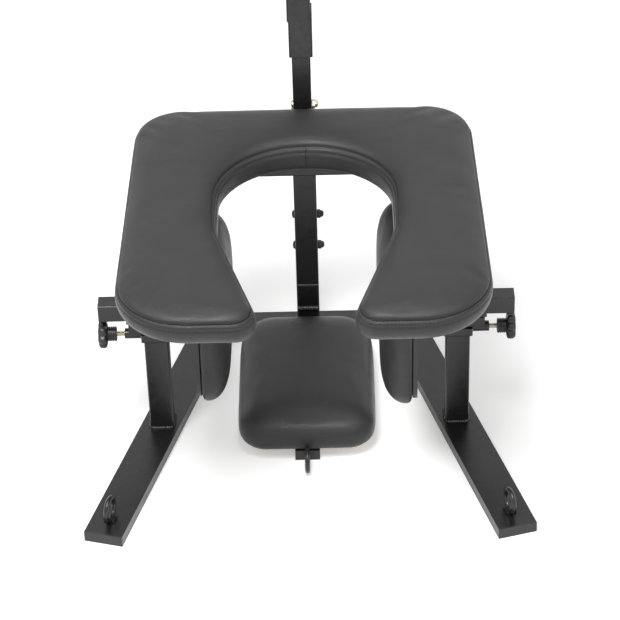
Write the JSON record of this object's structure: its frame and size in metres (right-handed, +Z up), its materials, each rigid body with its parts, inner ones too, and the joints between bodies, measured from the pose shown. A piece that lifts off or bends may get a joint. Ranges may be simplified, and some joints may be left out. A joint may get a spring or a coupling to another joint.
{
  "type": "padded stool",
  "caption": "Low padded stool with a keyhole seat open to the front, on a splayed steel base with telescoping posts, a rear mast, a low cushion and tilting side pads that slide in and out.",
  "frame": {"origin": "on the floor, under the middle of the stool's outer box", "axes": "+Z up, +X to the right, -Y towards the open front of the seat"},
  "size_m": [0.702, 0.651, 0.76],
  "materials": {
    "black_steel": "satin black powder coat with a fine orange peel",
    "black_plastic": "fine-grained black moulding",
    "leatherette": "black leatherette with a fine pebble grain and black topstitching",
    "zinc_steel": "zinc-plated steel with a slight yellow tint",
    "plywood": "plain birch plywood",
    "grey_nylon": "plain grey nylon",
    "black_board": "black-painted plywood with a faint grain"
  },
  "bodies": {
    "base": {"runner_left": "black_steel", "runner_right": "black_steel", "runner_caps": "black_plastic", "cross_tube": "black_steel", "centre_tube": "black_steel", "centre_tube_cap": "black_plastic", "post_left": "black_steel", "post_right": "black_steel", "post_bushes": "black_plastic", "collar_left": "black_steel", "collar_right": "black_steel", "knob_boss_left": "black_steel", "knob_boss_right": "black_steel", "anchor_eye_left": "black_steel", "anchor_eye_right": "black_steel", "anchor_eye_centre": "black_steel", "mast_socket": "black_steel", "mast_stub": "black_steel", "mast_stub_plug": "black_plastic", "foot_welds": "black_steel", "low_board": "plywood", "low_pad": "leatherette", "low_screws": "zinc_steel"},
    "carriage": {"mast_tube": "black_steel", "mast_foot_bush": "grey_nylon", "mast_shim": "black_plastic", "mast_bolts": "zinc_steel", "mast_nuts": "zinc_steel", "rear_bar": "black_steel", "rear_bar_caps": "black_plastic", "upright_left": "black_steel", "upright_right": "black_steel", "upright_feet": "black_plastic", "sleeve_left": "black_steel", "sleeve_right": "black_steel", "sleeve_bushes": "black_plastic", "gussets": "black_steel", "riser_left": "black_steel", "riser_right": "black_steel", "seat_plates": "black_steel", "seat_board": "plywood", "seat_pad": "leatherette", "seat_screws": "zinc_steel", "mast_inner_tube": "black_steel", "mast_sleeve": "black_steel", "mast_top_tube": "black_steel", "mast_top_cap": "black_plastic"},
    "left_knob": {"star_knob_left": "black_plastic", "knob_stud_left": "zinc_steel"},
    "right_knob": {"star_knob_right": "black_plastic", "knob_stud_right": "zinc_steel"},
    "left_slide": {"slide_tube_left": "black_steel"},
    "right_slide": {"slide_tube_right": "black_steel"},
    "left_pad": {"side_flange_left": "black_steel", "side_board_left": "black_board", "side_pad_left": "leatherette"},
    "right_pad": {"side_flange_right": "black_steel", "side_board_right": "black_board", "side_pad_right": "leatherette"}
  },
  "joints": [
    {"name": "seat_lift", "type": "slide", "parent": "base", "child": "carriage", "axis": [0, 0, 1], "range_m": [0, 0.1]},
    {"name": "left_knob_turn", "type": "hinge", "parent": "base", "child": "left_knob", "pos_m": [-0.3, 0.022, 0.196], "axis": [-1, 0, 0], "continuous": true},
    {"name": "right_knob_turn", "type": "hinge", "parent": "base", "child": "right_knob", "pos_m": [0.3, 0.022, 0.196], "axis": [1, 0, 0], "continuous": true},
    {"name": "left_pad_slide", "type": "slide", "parent": "carriage", "child": "left_slide", "axis": [1, 0, 0], "range_m": [-0.015, 0.04]},
    {"name": "right_pad_slide", "type": "slide", "parent": "carriage", "child": "right_slide", "axis": [-1, 0, 0], "range_m": [-0.015, 0.04]},
    {"name": "left_pad_tilt", "type": "hinge", "parent": "left_slide", "child": "left_pad", "pos_m": [-0.17, 0.022, 0.244], "axis": [1, 0, 0], "range_deg": [-25, 35]},
    {"name": "right_pad_tilt", "type": "hinge", "parent": "right_slide", "child": "right_pad", "pos_m": [0.17, 0.022, 0.244], "axis": [1, 0, 0], "range_deg": [-35, 25]}
  ]
}
